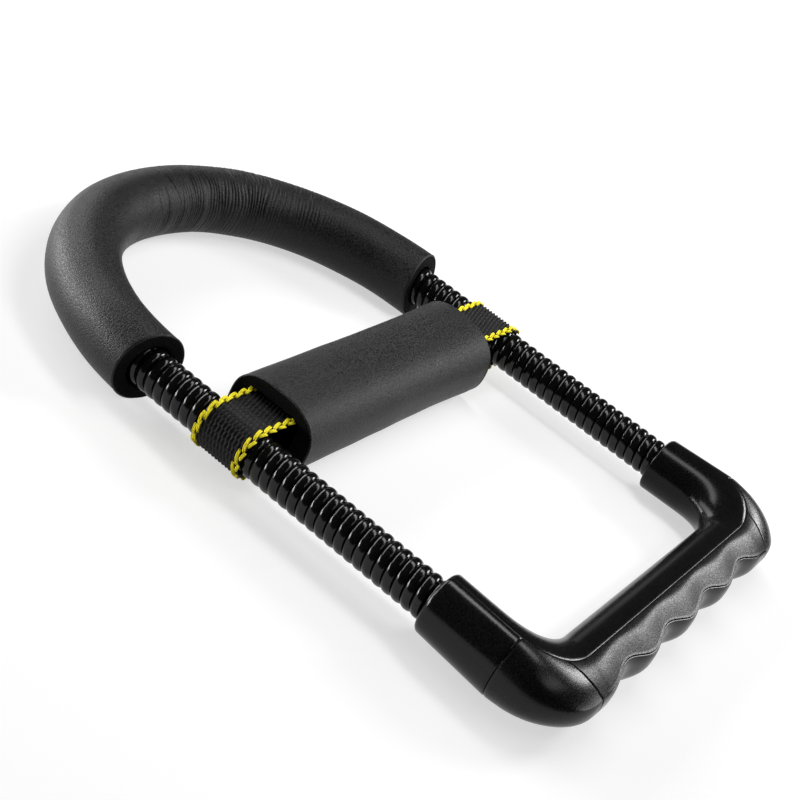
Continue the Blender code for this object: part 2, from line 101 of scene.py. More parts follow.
def add_mesh(name, points, faces, finish):
    """A smooth mesh object from points in millimetres, its faces turned outwards."""
    mesh = bpy.data.meshes.new(name)
    mesh.from_pydata(place(points).tolist(), [], faces)
    body = bmesh.new()
    body.from_mesh(mesh)
    bmesh.ops.recalc_face_normals(body, faces=body.faces)
    body.to_mesh(mesh)
    body.free()
    mesh.shade_smooth()
    mesh.materials.append(finish)
    piece = bpy.data.objects.new(name, mesh)
    bpy.context.scene.collection.objects.link(piece)
    return piece


def ring_faces(rings, sides, closed=False, start=0):
    """Faces between neighbouring rings of a skin, which is capped at both ends unless it is closed."""
    index = np.arange(start, start + rings * sides).reshape(rings, sides)
    low = index if closed else index[:-1]
    high = np.roll(index, -1, axis=0) if closed else index[1:]
    quads = np.stack((low, np.roll(low, -1, axis=1), np.roll(high, -1, axis=1), high), axis=-1)
    faces = quads.reshape(-1, 4).tolist()
    if not closed:
        faces += [index[0][::-1].tolist(), index[-1].tolist()]
    return faces


def add_skin(name, rings, finish, closed=False):
    """A smooth skin through a row of rings, each with the same number of points."""
    rings = np.asarray(rings, float)
    faces = ring_faces(rings.shape[0], rings.shape[1], closed)
    return add_mesh(name, rings.reshape(-1, 3), faces, finish)


def drift(draw, rows, columns, shape):
    """Smooth random swell over a grid, from coarse random heights that meet up round the tube."""
    coarse = draw.normal(size=(rows, columns))
    coarse = np.hstack((coarse, coarse[:, :1]))

    def stretched(values, count, closed=False):
        """The rows spread over a larger count, easing from one to the next."""
        at = np.linspace(0, len(values) - 1.000001, count, endpoint=not closed)
        low = at.astype(int)
        part = at - low
        part = part * part * (3 - 2 * part)
        part = part.reshape(-1, *([1] * (values.ndim - 1)))
        return values[low] * (1 - part) + values[low + 1] * part

    return stretched(stretched(coarse, shape[0]).T, shape[1], closed=True).T


def paint_shade_on_cuts(piece, finish, sides, first, last):
    """Gives the cut foam between two rings its own finish: rougher, as cut foam is, and painted near black as
    shade on the cut ends and in the bore.
    """
    piece.data.materials.append(finish)
    for face in piece.data.polygons[first * sides:last * sides]:
        face.material_index = 1


def bend_line():
    """The brace's middle line as closely spaced points, with its length so far."""
    ends = [math.asin(((y - BEND_START_Y) / BEND_RISE) ** (BEND_POWER / 2)) for y in FOAM_END_Y]
    angle = np.linspace(math.pi - ends[0], ends[1], BEND_POINTS)
    cosine = np.cos(angle)
    x = ARM_X * np.sign(cosine) * np.abs(cosine) ** (2 / BEND_POWER)
    y = BEND_START_Y + BEND_RISE * np.sin(angle) ** (2 / BEND_POWER)
    run = np.concatenate(([0], np.cumsum(np.hypot(np.diff(x), np.diff(y)))))
    return x, y, run


def group(name, inputs, outputs):
    """An empty shader group with its sockets."""
    made = bpy.data.node_groups.new(name, "ShaderNodeTree")
    for label, kind, value in inputs:
        socket = made.interface.new_socket(label, in_out="INPUT", socket_type="NodeSocket" + kind)
        socket.default_value = value
    for label, kind in outputs:
        made.interface.new_socket(label, in_out="OUTPUT", socket_type="NodeSocket" + kind)
    entry = made.nodes.new("NodeGroupInput")
    leave = made.nodes.new("NodeGroupOutput")
    return made, entry, leave


def feed(tree, value, socket):
    """Gives a socket a plain value or another node's output."""
    if isinstance(value, bpy.types.NodeSocket):
        tree.links.new(value, socket)
    else:
        socket.default_value = value


def noise_node(tree, vector, scale, detail, rough):
    """Smooth noise over a place, from 0 to 1."""
    node = tree.nodes.new("ShaderNodeTexNoise")
    node.inputs["Detail"].default_value = detail
    node.inputs["Roughness"].default_value = rough
    feed(tree, scale, node.inputs["Scale"])
    tree.links.new(vector, node.inputs["Vector"])
    return node.outputs["Fac"]


def math_node(tree, operation, first, second):
    """One step of arithmetic on plain values or other nodes' outputs."""
    node = tree.nodes.new("ShaderNodeMath")
    node.operation = operation
    for socket, value in zip(node.inputs, (first, second)):
        feed(tree, value, socket)
    return node.outputs[0]


def spread_node(tree, value, low, high, to_low, to_high):
    """Maps one range of a value onto another."""
    node = tree.nodes.new("ShaderNodeMapRange")
    tree.links.new(value, node.inputs["Value"])
    for label, number in (("From Min", low), ("From Max", high), ("To Min", to_low), ("To Max", to_high)):
        feed(tree, number, node.inputs[label])
    return node.outputs["Result"]


def mix_node(tree, factor, first, second):
    """One colour at 0 and another at 1."""
    node = tree.nodes.new("ShaderNodeMix")
    node.data_type = "RGBA"
    tree.links.new(factor, node.inputs["Factor"])
    feed(tree, first, node.inputs[6])
    feed(tree, second, node.inputs[7])
    return node.outputs[2]


# The grain of the foam, yarn, paint and plastic: fine specks over a slow mottle
grain, entry, leave = group(
    "grain",
    (
        ("Speck Scale", "Float", 2500.0),
        ("Dark", "Color", (0, 0, 0, 1)),
        ("Light", "Color", (0.1, 0.1, 0.1, 1)),
        ("Smooth", "Float", 0.4),
        ("Rough", "Float", 0.6),
    ),
    (("Color", "Color"), ("Roughness", "Float"), ("Height", "Float")),
)
where = grain.nodes.new("ShaderNodeTexCoord").outputs["Object"]
specks = noise_node(grain, where, entry.outputs["Speck Scale"], detail=1.5, rough=0.5)
mottle = noise_node(grain, where, 90.0, detail=3.0, rough=0.6)
speck_part = math_node(grain, "MULTIPLY", specks, 0.9)
mottle_part = math_node(grain, "MULTIPLY", mottle, 0.1)
shade = math_node(grain, "ADD", speck_part, mottle_part)
shade = spread_node(grain, shade, 0.38, 0.62, 0.0, 1.0)
colour = mix_node(grain, shade, entry.outputs["Dark"], entry.outputs["Light"])
grain.links.new(colour, leave.inputs["Color"])
dull = spread_node(grain, specks, 0.3, 0.7, entry.outputs["Smooth"], entry.outputs["Rough"])
grain.links.new(dull, leave.inputs["Roughness"])
grain.links.new(specks, leave.inputs["Height"])


def new_finish(name, specular, roughness=0.5):
    """A material with its plain numbers on the shader itself."""
    made = bpy.data.materials.new(name)
    made.use_nodes = True
    shader = made.node_tree.nodes["Principled BSDF"]
    shader.inputs["Roughness"].default_value = roughness
    shader.inputs["Specular IOR Level"].default_value = specular
    return made, made.node_tree, shader


def raise_bump(tree, shader, height, strength, distance):
    """Gives a shader a fine relief from a height."""
    bump = tree.nodes.new("ShaderNodeBump")
    bump.inputs["Strength"].default_value = strength
    bump.inputs["Distance"].default_value = distance
    tree.links.new(height, bump.inputs["Height"])
    tree.links.new(bump.outputs["Normal"], shader.inputs["Normal"])


def grained(name, scale, dark, light, smooth, rough, strength, distance, specular=0.5):
    """A material with the grain group's colour, roughness and height."""
    made, tree, shader = new_finish(name, specular)
    node = tree.nodes.new("ShaderNodeGroup")
    node.node_tree = grain
    node.inputs["Speck Scale"].default_value = scale
    node.inputs["Dark"].default_value = (*dark, 1)
    node.inputs["Light"].default_value = (*light, 1)
    node.inputs["Smooth"].default_value = smooth
    node.inputs["Rough"].default_value = rough
    tree.links.new(node.outputs["Color"], shader.inputs["Base Color"])
    tree.links.new(node.outputs["Roughness"], shader.inputs["Roughness"])
    raise_bump(tree, shader, node.outputs["Height"], strength, distance)
    return made


NEAR_BLACK = (0.001, 0.001, 0.001)
# The cut foam's finish: rough and dull, as cut foam is, and painted near black as shade on the cut ends and
# inside the bores.
cut_shade_finish = grained(
    "foam_cut_painted_shade", scale=1500.0, dark=NEAR_BLACK, light=(0.006, 0.006, 0.006), smooth=0.8, rough=1.0,
    strength=0.8, distance=0.0004, specular=0.08,
)
brace_finish = grained(
    "brace_foam", scale=1700.0, dark=NEAR_BLACK, light=(0.025, 0.025, 0.0244), smooth=0.34, rough=0.62,
    strength=0.7, distance=0.0003, specular=0.24,
)

draw = np.random.default_rng(11)
bend_x, bend_y, bend_run = bend_line()
length = bend_run[-1]
turn = np.linspace(0, 2 * math.pi, FOAM_SIDES, endpoint=False)


def brace_ring(run, radius):
    """A ring round the bend at a distance along it, its cut end drawn aslant by bending."""
    x = np.interp(run, bend_run, bend_x)
    y = np.interp(run, bend_run, bend_y)
    near, far = max(run - 1, 0), min(run + 1, length)
    ahead = np.array((
        np.interp(far, bend_run, bend_x) - np.interp(near, bend_run, bend_x),
        np.interp(far, bend_run, bend_y) - np.interp(near, bend_run, bend_y),
    ))
    ahead /= np.hypot(*ahead)
    outward = np.array((-ahead[1], ahead[0]))
    across = radius * np.cos(turn)
    up = np.maximum(radius * np.sin(turn), FOAM_REST_CUT - FOAM_RADIUS)
    ring = np.stack((x + outward[0] * across, y + outward[1] * across, up), axis=-1)
    for end, tilt, nod in zip((run, length - run), FOAM_END_TILT, FOAM_END_NOD):
        pull = max(1 - end / FOAM_END_PULL, 0) ** 2
        ring[:, 1] += (across * math.tan(math.radians(tilt)) + up * math.tan(math.radians(nod))) * pull
    return ring


steps = int((length - 2 * FOAM_EDGE) / FOAM_STEP)
outer_runs = np.linspace(FOAM_EDGE, length - FOAM_EDGE, steps)
shape = (steps, FOAM_SIDES)
along = outer_runs[:, None]
for size, rows, columns in CRINKLE_WANDER:
    along = along + size * drift(draw, rows, columns, shape)
crinkle = np.zeros(shape)
for depth, pitch in CRINKLES:
    shift = CRINKLE_SHIFT * drift(draw, rows=60, columns=9, shape=shape)
    fold = np.sin(2 * math.pi * along / pitch + shift) / 2 + 0.5
    depth_share = CRINKLE_USUAL + CRINKLE_VARIES * drift(draw, rows=90, columns=10, shape=shape)
    crinkle -= depth * fold ** 2 * np.clip(depth_share, CRINKLE_LEAST, CRINKLE_MOST)
inside_and_top = np.clip(CRINKLE_INSIDE * (1 - np.cos(turn)) + CRINKLE_TOP * np.sin(turn), 0, 1)
from_middle = np.abs(outer_runs / length - CRINKLE_MIDDLE)
in_the_bend = np.clip(CRINKLE_SPAN - from_middle / CRINKLE_FADE, 0, 1)
crinkle *= inside_and_top[None, :] * in_the_bend[:, None]
swell = FOAM_SWELL * drift(draw, rows=16, columns=7, shape=shape) - FOAM_INSET
rings = [brace_ring(run, FOAM_RADIUS + crinkle[k] + swell[k]) for k, run in enumerate(outer_runs)]
end_steps = []
for inset in FOAM_EDGE_INSETS:
    edge_drop = FOAM_EDGE * (1 - math.cos(math.asin(1 - inset / FOAM_EDGE)))
    end_steps.append((inset, FOAM_RADIUS - edge_drop))
cut_from = len(rings) + len(end_steps) - 1
cut_to_last = len(end_steps)
end_steps += FOAM_FACE_STEPS
rings += [brace_ring(length - inset, radius) for inset, radius in end_steps]
bore_runs = np.linspace(length - BORE_START, BORE_START, BORE_RINGS)
rings += [brace_ring(run, FOAM_BORE_RADIUS) for run in bore_runs]
rings += [brace_ring(inset, radius) for inset, radius in end_steps[::-1]]
brace_foam = add_skin("brace_foam", rings, brace_finish, closed=True)
# The brace's cut ends and its bore take the painted shade.
paint_shade_on_cuts(brace_foam, cut_shade_finish, FOAM_SIDES, cut_from, len(rings) - cut_to_last)
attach(brace_foam, "frame")
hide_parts("arm_brace")


# Springs
# Two close-wound coil springs of flattened wire with rounded corners, painted gloss black. They run from
# inside the foam into the handle's sockets, and they are what bends when the grip is pushed.

SPRING_RADIUS = 8.05
SPRING_X = 86.05
WIRE_WIDTH = 4.17
WIRE_DEPTH = 2.7
WIRE_POWER = 2.1
WIRE_SIDES = 28
COIL_PITCH = 4.21
SPRING_Y = (-113.4, 52.3)
POINTS_PER_COIL = 48


def arm_centre_x(y):
    """The right arm's middle line: straight, then following the brace's bend."""
    rise = np.clip((y - BEND_START_Y) / BEND_RISE, 0, 1)
    return ARM_X * (1 - rise ** BEND_POWER) ** (1 / BEND_POWER)


def oval(angle, half_width, half_height, power):
    """Points of an oval, which a power over 2 makes squarer."""
    cosine, sine = np.cos(angle), np.sin(angle)
    return np.stack((
        half_width * np.sign(cosine) * np.abs(cosine) ** (2 / power),
        half_height * np.sign(sine) * np.abs(sine) ** (2 / power),
    ), axis=-1)


def coil(side):
    """A close-wound coil along one arm, following the bend at its top."""
    reach = SPRING_RADIUS - WIRE_DEPTH / 2
    count = int((SPRING_Y[1] - SPRING_Y[0]) / COIL_PITCH * POINTS_PER_COIL)
    y = np.linspace(*SPRING_Y, count)
    lean = (arm_centre_x(y + 1) - arm_centre_x(y)) * side
    angle = -2 * math.pi * (y - SPRING_Y[0]) / COIL_PITCH
    spoke = np.stack((np.cos(angle), -lean * np.cos(angle), np.sin(angle)), axis=-1)
    x = side * (arm_centre_x(y) + SPRING_X - ARM_X)
    line = np.stack((x, y, np.zeros(count)), axis=-1) + spoke * reach
    ahead = np.gradient(line, axis=0)
    ahead /= np.linalg.norm(ahead, axis=1, keepdims=True)
    sideways = np.cross(ahead, spoke)
    turns = np.linspace(0, 2 * math.pi, WIRE_SIDES, endpoint=False)
    section = oval(turns, WIRE_WIDTH / 2, WIRE_DEPTH / 2, WIRE_POWER)
    return line[:, None] + sideways[:, None] * section[None, :, :1] + spoke[:, None] * section[None, :, 1:]


spring_finish = grained(
    "spring_paint", scale=1500.0, dark=NEAR_BLACK, light=(0.005, 0.005, 0.005), smooth=0.12, rough=0.18,
    strength=0.2, distance=0.0001, specular=0.30,
)
for name, side in (("left_spring", -1), ("right_spring", 1)):
    spring = add_skin(name + "_coils", coil(side), spring_finish)
    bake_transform(spring)
    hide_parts(name)


# Strap
# One inch webbing in a plain weave, taken round both springs and sewn to itself inside the pad. Its yarns
# are modelled where they show; the stretch inside the pad is plain.

STRAP_Y = 0.7
STRAP_SKEW = -0.0066
WEBBING_HALF_WIDTH = 10.3
WEBBING_INNER_RADIUS = 8.1
WEBBING_THICKNESS = 1.5
YARN_RISE = 0.62
YARN_COLUMNS = 26
FLOAT_LENGTH = 2.7
FLOAT_SLANT = 0.35
FLOAT_ROUNDNESS = 0.97
STEPS_ACROSS = 4
STEPS_ALONG = 9
PAD_HIDES_X = (-66.0, 52.0)
NUDGE = 1e-4


def belt_point(run, radius):
    """A point of the loop round both arms, seen along the arms, and its outward direction."""
    straight = 2 * ARM_X
    bend = math.pi * radius
    run = run % (2 * (straight + bend))
    if run < straight:
        return np.array((-ARM_X + run, radius)), np.array((0.0, 1.0))
    run -= straight
    if run < bend:
        angle = math.pi / 2 - run / radius
        out = np.array((math.cos(angle), math.sin(angle)))
        return np.array((ARM_X, 0)) + out * radius, out
    run -= bend
    if run < straight:
        return np.array((ARM_X - run, -radius)), np.array((0.0, -1.0))
    run -= straight
    angle = -math.pi / 2 - run / radius
    out = np.array((math.cos(angle), math.sin(angle)))
    return np.array((-ARM_X, 0)) + out * radius, out


middle_radius = WEBBING_INNER_RADIUS + WEBBING_THICKNESS / 2
loop_length = 2 * (2 * ARM_X + math.pi * middle_radius)
rows = round(loop_length / FLOAT_LENGTH / 2) * 2
row_pitch = loop_length / rows
columns = YARN_COLUMNS * STEPS_ACROSS
across = np.linspace(-WEBBING_HALF_WIDTH, WEBBING_HALF_WIDTH, columns + 1)
column_share = (across + WEBBING_HALF_WIDTH) / (2 * WEBBING_HALF_WIDTH) * YARN_COLUMNS


def weave_height(run, share, flip):
    """How far the yarns stand out at a place along the strap, over all its columns."""
    row = run / row_pitch
    along = row % 1 - 0.5
    share = share - FLOAT_SLANT * along
    across = (share % 1 - 0.5) * 2
    over = (np.floor(share) + math.floor(row) + flip) % 2 < 0.5
    return YARN_RISE * over * math.cos(math.pi * along) ** 0.5 * np.sqrt(1 - FLOAT_ROUNDNESS * across ** 2)


strap_rings = []
run = 0.0
while run < loop_length - 1e-6:
    point, out = belt_point(run, middle_radius)
    hidden = PAD_HIDES_X[0] < point[0] < PAD_HIDES_X[1]
    ring = []
    for sign, flip in ((1, 0), (-1, 1)):
        share = np.clip(column_share, 0, YARN_COLUMNS - NUDGE)
        rise = weave_height(run + NUDGE, share, flip) * (0.0 if hidden else 1.0)
        depth = sign * (WEBBING_THICKNESS / 2 - YARN_RISE + rise)
        xz = point[None, :] + out[None, :] * depth[:, None]
        side = np.stack((xz[:, 0], STRAP_Y + STRAP_SKEW * xz[:, 0] + across, xz[:, 1]), axis=-1)
        ring.append(side[::sign])
    strap_rings.append(np.concatenate(ring))
    run += row_pitch if hidden else row_pitch / STEPS_ALONG

webbing_finish = grained(
    "webbing_yarn", scale=3500.0, dark=NEAR_BLACK, light=(0.010, 0.010, 0.010), smooth=0.45, rough=0.70,
    strength=0.5, distance=0.0002, specular=0.22,
)
webbing = add_skin("strap_loop", strap_rings, webbing_finish, closed=True)
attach(webbing, "strap")
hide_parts("strap_webbing")


# Edge braids
# A chain of yellow stitches along each edge of the webbing. Each stitch has two legs of doubled thread. A
# leg is given as three points, by how far along the chain and how far across it each lies.

BRAID_OFFSET = 9.5
BRAID_LINE_RADIUS = 9.45
STITCH_PITCH = 5.3
THREAD_RADIUS = 0.34
THREAD_SIDES = 8
THREAD_RISE = 0.34
THREAD_SINK = 0.25
THREAD_SPREAD = 0.289
THREAD_TAPER = (0.35, 0.8, 1, 1, 1, 1, 1, 0.85, 0.4)
STITCH_STRAY = 0.12
STITCH_LEGS = {
    "upper": (((0.3, -1.0), (2.6, -0.5), (5.2, -0.15)), ((3.4, 0.0), (5.8, 0.6), (8.4, 0.85))),
    "lower": (((0.0, -0.4), (2.6, 0.7), (5.6, 1.2)), ((2.2, -0.5), (3.8, -1.15), (5.7, -1.2))),
}

braid_finish, tree, shader = new_finish("braid_yarn", 0.3, roughness=0.7)
where = tree.nodes.new("ShaderNodeTexCoord").outputs["Object"]
fibres = noise_node(tree, where, 2200.0, detail=2.0, rough=0.6)
fibre_light = spread_node(tree, fibres, 0.35, 0.65, 0.0, 1.0)
colour = mix_node(tree, fibre_light, (0.93, 0.76, 0.0, 1), (1.0, 0.92, 0.03, 1))
tree.links.new(colour, shader.inputs["Base Color"])
raise_bump(tree, shader, fibres, 0.5, 0.0003)


def loop_place(run, offset, lift):
    """A point over the strap's outer face, from a run along it, an offset across it and a height."""
    point, out = belt_point(run, BRAID_LINE_RADIUS)
    xz = point + out * lift
    return np.array((xz[0], STRAP_Y + STRAP_SKEW * xz[0] + offset, xz[1])), np.array((out[0], 0.0, out[1]))


def leg_line(leg, start, edge):
    """The curve of one leg, as points and the strap's outward direction at each."""
    line = []
    outs = []
    for share in np.linspace(0, 1, len(THREAD_TAPER)):
        weights = np.array(((1 - share) ** 2, 2 * share * (1 - share), share ** 2))
        run, offset = weights @ np.array(leg)
        lift = THREAD_RISE * (math.sin(math.pi * share) - THREAD_SINK)
        point, out = loop_place((start + run) % braid_length, edge * BRAID_OFFSET + offset, lift)
        line.append(point)
        outs.append(out)
    return np.array(line), np.array(outs)


def thread_rings(line, sideways, upward):
    """Rings of a thread about a line, thinner towards its ends."""
    turns = np.linspace(0, 2 * math.pi, THREAD_SIDES, endpoint=False)
    spokes = sideways[:, None] * np.cos(turns)[None, :, None] + upward[:, None] * np.sin(turns)[None, :, None]
    return line[:, None] + spokes * THREAD_RADIUS * np.array(THREAD_TAPER)[:, None, None]


braid_length = 2 * (2 * ARM_X + math.pi * BRAID_LINE_RADIUS)
stitches = round(braid_length / STITCH_PITCH)
draw = np.random.default_rng(31)
for name, edge in (("upper", 1), ("lower", -1)):
    points = []
    faces = []
    for stitch in range(stitches):
        start = braid_length * stitch / stitches + draw.normal() * STITCH_STRAY
        for leg in STITCH_LEGS[name]:
            line, outs = leg_line(leg, start, edge)
            ahead = np.gradient(line, axis=0)
            ahead /= np.linalg.norm(ahead, axis=1, keepdims=True)
            sideways = np.cross(ahead, outs)
            sideways /= np.linalg.norm(sideways, axis=1, keepdims=True)
            for shift in (-THREAD_SPREAD, THREAD_SPREAD):
                faces += ring_faces(len(line), THREAD_SIDES, start=len(points) * THREAD_SIDES)
                points += list(thread_rings(line + sideways * shift, sideways, np.cross(sideways, ahead)))
    braid = add_mesh("edge_braid_" + name, np.concatenate(points), faces, braid_finish)
    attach(braid, "strap")
    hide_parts("strap_braid_" + name)
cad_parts["strap_lap"].material_slots[0].material = webbing_finish


# Pad
# A thick foam sleeve on the strap, where the back of the forearm rests. It flares a little towards its right
# end, which is cut slightly aslant; the left one is cut square.

PAD_CENTRE_X = -6.6
PAD_LENGTH = 126.8
PAD_Y = 0.4
PAD_END_SLANT = 0.2
PAD_SLANT_MOST = 8.0
PAD_HALF_WIDTH = 19.6
PAD_FLAT_BACK = 18.4
PAD_HALF_HEIGHT = 14.9
PAD_LIFT = 1.2
PAD_POWER = 2.4
PAD_BACK_POWER = 2.9
PAD_BORE_HALF = (12.1, 10.4)
PAD_BORE_POWER = 9.0
PAD_BORE_RINGS = 12
PAD_SIDES = 120
PAD_RINGS = 160
PAD_EDGE = 0.8
PAD_EDGE_STEPS = ((0.3, 0.07), (0.1, 0.3), (0.0, 0.7))
PAD_FACE_SHARES = (0.25, 0.55, 0.85, 1.0)
PAD_INSET = 0.15
PAD_SWELL = 0.05
PAD_FLARE = 0.9
PAD_FLARE_FROM = 10.0
PAD_FLARE_RUN = 40.0

pad_turn = np.linspace(0, 2 * math.pi, PAD_SIDES, endpoint=False)
pad_outline = oval(pad_turn, PAD_HALF_WIDTH, PAD_HALF_HEIGHT, PAD_POWER)
pad_back = oval(pad_turn, PAD_FLAT_BACK, PAD_HALF_HEIGHT, PAD_BACK_POWER)
pad_outline = np.where(pad_outline[:, :1] > 0, pad_back, pad_outline)
pad_out = pad_outline / np.linalg.norm(pad_outline, axis=1, keepdims=True)
pad_outline = pad_outline + (0, PAD_LIFT)
pad_bore = oval(pad_turn, *PAD_BORE_HALF, PAD_BORE_POWER)
draw = np.random.default_rng(23)
low_x = PAD_CENTRE_X - PAD_LENGTH / 2
pad_xs = np.linspace(low_x + PAD_EDGE, low_x + PAD_LENGTH - PAD_EDGE, PAD_RINGS)
flare = PAD_FLARE * np.clip((pad_xs - PAD_FLARE_FROM) / PAD_FLARE_RUN, 0, 1) ** 2
swell = PAD_SWELL * drift(draw, rows=12, columns=8, shape=(PAD_RINGS, PAD_SIDES))
stand = swell + flare[:, None] - PAD_INSET


def pad_ring(x, outline):
    """A ring round the pad, whose right end is cut a little aslant."""
    aside = np.minimum(outline[:, 0], PAD_SLANT_MOST)
    slant = PAD_END_SLANT * aside * max(x - PAD_CENTRE_X, 0) / PAD_LENGTH
    return np.stack((x + slant, outline[:, 0] + PAD_Y, outline[:, 1]), axis=-1)


rings = [pad_ring(x, pad_outline + pad_out * stand[k][:, None]) for k, x in enumerate(pad_xs)]
for sign in (1, -1):
    end_x = PAD_CENTRE_X + sign * PAD_LENGTH / 2
    wider = flare[-1] if sign > 0 else 0.0
    cap = []
    for inset, drop in PAD_EDGE_STEPS:
        rim = pad_outline + pad_out * (wider - drop)
        cap.append(pad_ring(end_x - sign * inset, rim))
    cap += [pad_ring(end_x, rim * (1 - share) + pad_bore * share) for share in PAD_FACE_SHARES]
    if sign > 0:
        rings += cap
        rings += [pad_ring(x, pad_bore) for x in np.linspace(end_x - 1, low_x + 1, PAD_BORE_RINGS)]
    else:
        rings += cap[::-1]
# The pad's foam is lighter than the brace's: partly its own greyer tone, partly painted light for the lamp
# that lights the pad more than the brace.
pad_tone_and_light_finish = grained(
    "pad_foam", scale=1700.0, dark=(0.006, 0.006, 0.006), light=(0.042, 0.042, 0.043), smooth=0.34,
    rough=0.60, strength=0.8, distance=0.0003, specular=0.18,
)
pad = add_skin("pad_foam", rings, pad_tone_and_light_finish, closed=True)
edge_steps = len(PAD_EDGE_STEPS)
# The pad's cut ends and its bore take the painted shade.
paint_shade_on_cuts(pad, cut_shade_finish, PAD_SIDES, PAD_RINGS + edge_steps - 1, len(rings) - edge_steps)
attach(pad, "pad")
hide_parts("pad_sleeve")


# Handle mouldings
# Black plastic with a fine grain, moulded in pieces that meet along the crest: a glossy inner shell and
# socket covers, duller elbow caps, and a dull top on the grip, whose wavy lip lies over a glossy, scalloped
# finger grip. Screws hold the finger grip to the shell.

MOUTH_Y = {"left": -88.9, "right": -92.0}
MOUTH_RADIUS = 11.6
MOUTH_EDGE = ((0.0, 1.3), (0.2, 0.7), (0.7, 0.25), (1.5, 0.0))
MOUTH_LEAN = 1.3
HANDLE_RADIUS = 12.3
SEAM_Y = -120.0
GRIP_Y = -136.9
GRIP_RISE = 8.8
GRIP_DROP = 10.6
GRIP_REACH = 13.0
CREST_REACH = 16.9
CREST_CORNER = 20.0
CREST_DRIFT = 2.2
INNER_CORNER = 17.0
OUTER_CORNER = 22.5
TOP_SLOPE = 0.50
CREST_ROUND = (2.4, 3.7)
LIP_ANGLE = 18.0
LOWER_POWER = 2.8
ELBOW_END = (48.0, 82.0)
ELBOW_END_CURVE = 0.42
SLOPE_FROM = 40.0
SLOPE_FULL = 112.0
GRIP_STRAIGHT = 106.0
FINGER_PITCH = 33.6
FINGER_DEPTH = 3.4
SHELL_THICKNESS = 1.7
SOCKET_BORE = 8.4
CREST_GAP = 0.04
ARM_CREST_GAP = 0.005
LIP_GAP = 0.2
LIP_EDGE = 0.45
MOULD_EDGE = 0.2
SEAM_EDGE = 0.12
ARM_SEAM_EDGE = 0.02
SHARP_ANGLE = 50.0
EDGE_MIDDLE = 0.3
CHAMFER = 0.22
CHAMFER_RUN = 0.35
SOCKET_END_EDGE = ((-1.5, 0.0), (-CHAMFER_RUN, 0.0), (-CHAMFER_RUN / 3, CHAMFER))
ARM_MARGIN = 3.0
INNER_POINTS = 33
TOP_POINTS = 19
LOWER_POINTS = 27
LIP_ROUNDS = 12
PLACE_STEP = 0.5
ARM_RINGS = 14
CORNER_RINGS = 41
GRIP_RINGS = 40
ELBOW_RINGS = 60
SLANT_RINGS = 70
STRAIGHT_RINGS = 70
TURN_X = -ARM_X + CREST_REACH
CREST_EXTRA = CREST_CORNER - CREST_REACH
INNER_EXTRA = INNER_CORNER - (CREST_REACH - HANDLE_RADIUS)
INNER_TURN = (TURN_X + INNER_EXTRA, SEAM_Y + INNER_EXTRA)


def smooth_share(value):
    """A share that starts and ends gently, from a value between 0 and 1."""
    value = min(max(value, 0.0), 1.0)
    return value * value * (3 - 2 * value)


def fillet(radius, past):
    """How far a rounded corner has left its straight side, a distance past the corner's start."""
    past = max(past, 0)
    return radius - math.sqrt(max(radius ** 2 - past ** 2, 0))


def corner_reach(angle, radius, extra):
    """From the corner's turning point to a rounded corner whose centre lies further in."""
    ahead = extra * (math.cos(angle) + math.sin(angle))
    return math.sqrt(ahead ** 2 - 2 * extra ** 2 + radius ** 2) - ahead


def outer_reach(angle):
    """From the corner's turning point to the handle's rounded outer corner."""
    outer_x = -ARM_X - HANDLE_RADIUS
    outer_y = GRIP_Y - GRIP_REACH
    round_x, round_y = outer_x + OUTER_CORNER, outer_y + OUTER_CORNER
    cosine, sine = math.cos(angle), math.sin(angle)
    to_arm = (TURN_X - outer_x) / max(cosine, 1e-6)
    if SEAM_Y - to_arm * sine > round_y:
        return to_arm
    to_grip = (SEAM_Y - outer_y) / max(sine, 1e-6)
    if TURN_X - to_grip * cosine > round_x:
        return to_grip
    from_x, from_y = round_x - TURN_X, round_y - SEAM_Y
    ahead = -from_x * cosine - from_y * sine
    return ahead + math.sqrt(ahead ** 2 - from_x ** 2 - from_y ** 2 + OUTER_CORNER ** 2)


def station(place_at):
    """A cut across the left half: below 0 on the arm, 0 to 90 degrees round the corner, then on the grip."""
    grip = smooth_share((place_at - SLOPE_FROM) / (SLOPE_FULL - SLOPE_FROM))
    cut = {"grip": grip, "groove": 0.0, "lean": 0.0}
    if place_at < 0:
        along = place_at / (SEAM_Y - MOUTH_Y["left"])
        radius = HANDLE_RADIUS + (MOUTH_RADIUS - HANDLE_RADIUS) * along
        shift = fillet(CREST_CORNER, CREST_EXTRA + place_at) - CREST_DRIFT * (1 - along)
        cut.update(crest=(-ARM_X + shift, SEAM_Y - place_at), out=(-1, 0), reach=radius + shift)
        cut.update(rise=radius, drop=radius, lean=along * MOUTH_LEAN)
    elif place_at <= 90:
        angle = math.radians(place_at)
        out = (-math.cos(angle), -math.sin(angle))
        lower = smooth_share(place_at / 90)
        to_crest = corner_reach(angle, CREST_CORNER, CREST_EXTRA) + CREST_DRIFT * (1 - lower)
        crest = (TURN_X + to_crest * out[0], SEAM_Y + to_crest * out[1])
        rise = HANDLE_RADIUS + (GRIP_RISE - HANDLE_RADIUS) * lower
        drop = HANDLE_RADIUS + (GRIP_DROP - HANDLE_RADIUS) * lower
        cut.update(crest=crest, out=out, reach=outer_reach(angle) - to_crest, rise=rise, drop=drop)
    else:
        x = TURN_X + place_at - 90
        shift = fillet(CREST_CORNER, CREST_EXTRA + 90 - place_at)
        if abs(x) < 2 * FINGER_PITCH:
            cut["groove"] = (1 - math.cos(2 * math.pi * x / FINGER_PITCH)) / 2
        cut.update(crest=(x, GRIP_Y + shift), out=(0, -1), reach=GRIP_REACH + shift)
        cut.update(rise=GRIP_RISE, drop=GRIP_DROP)
    return cut


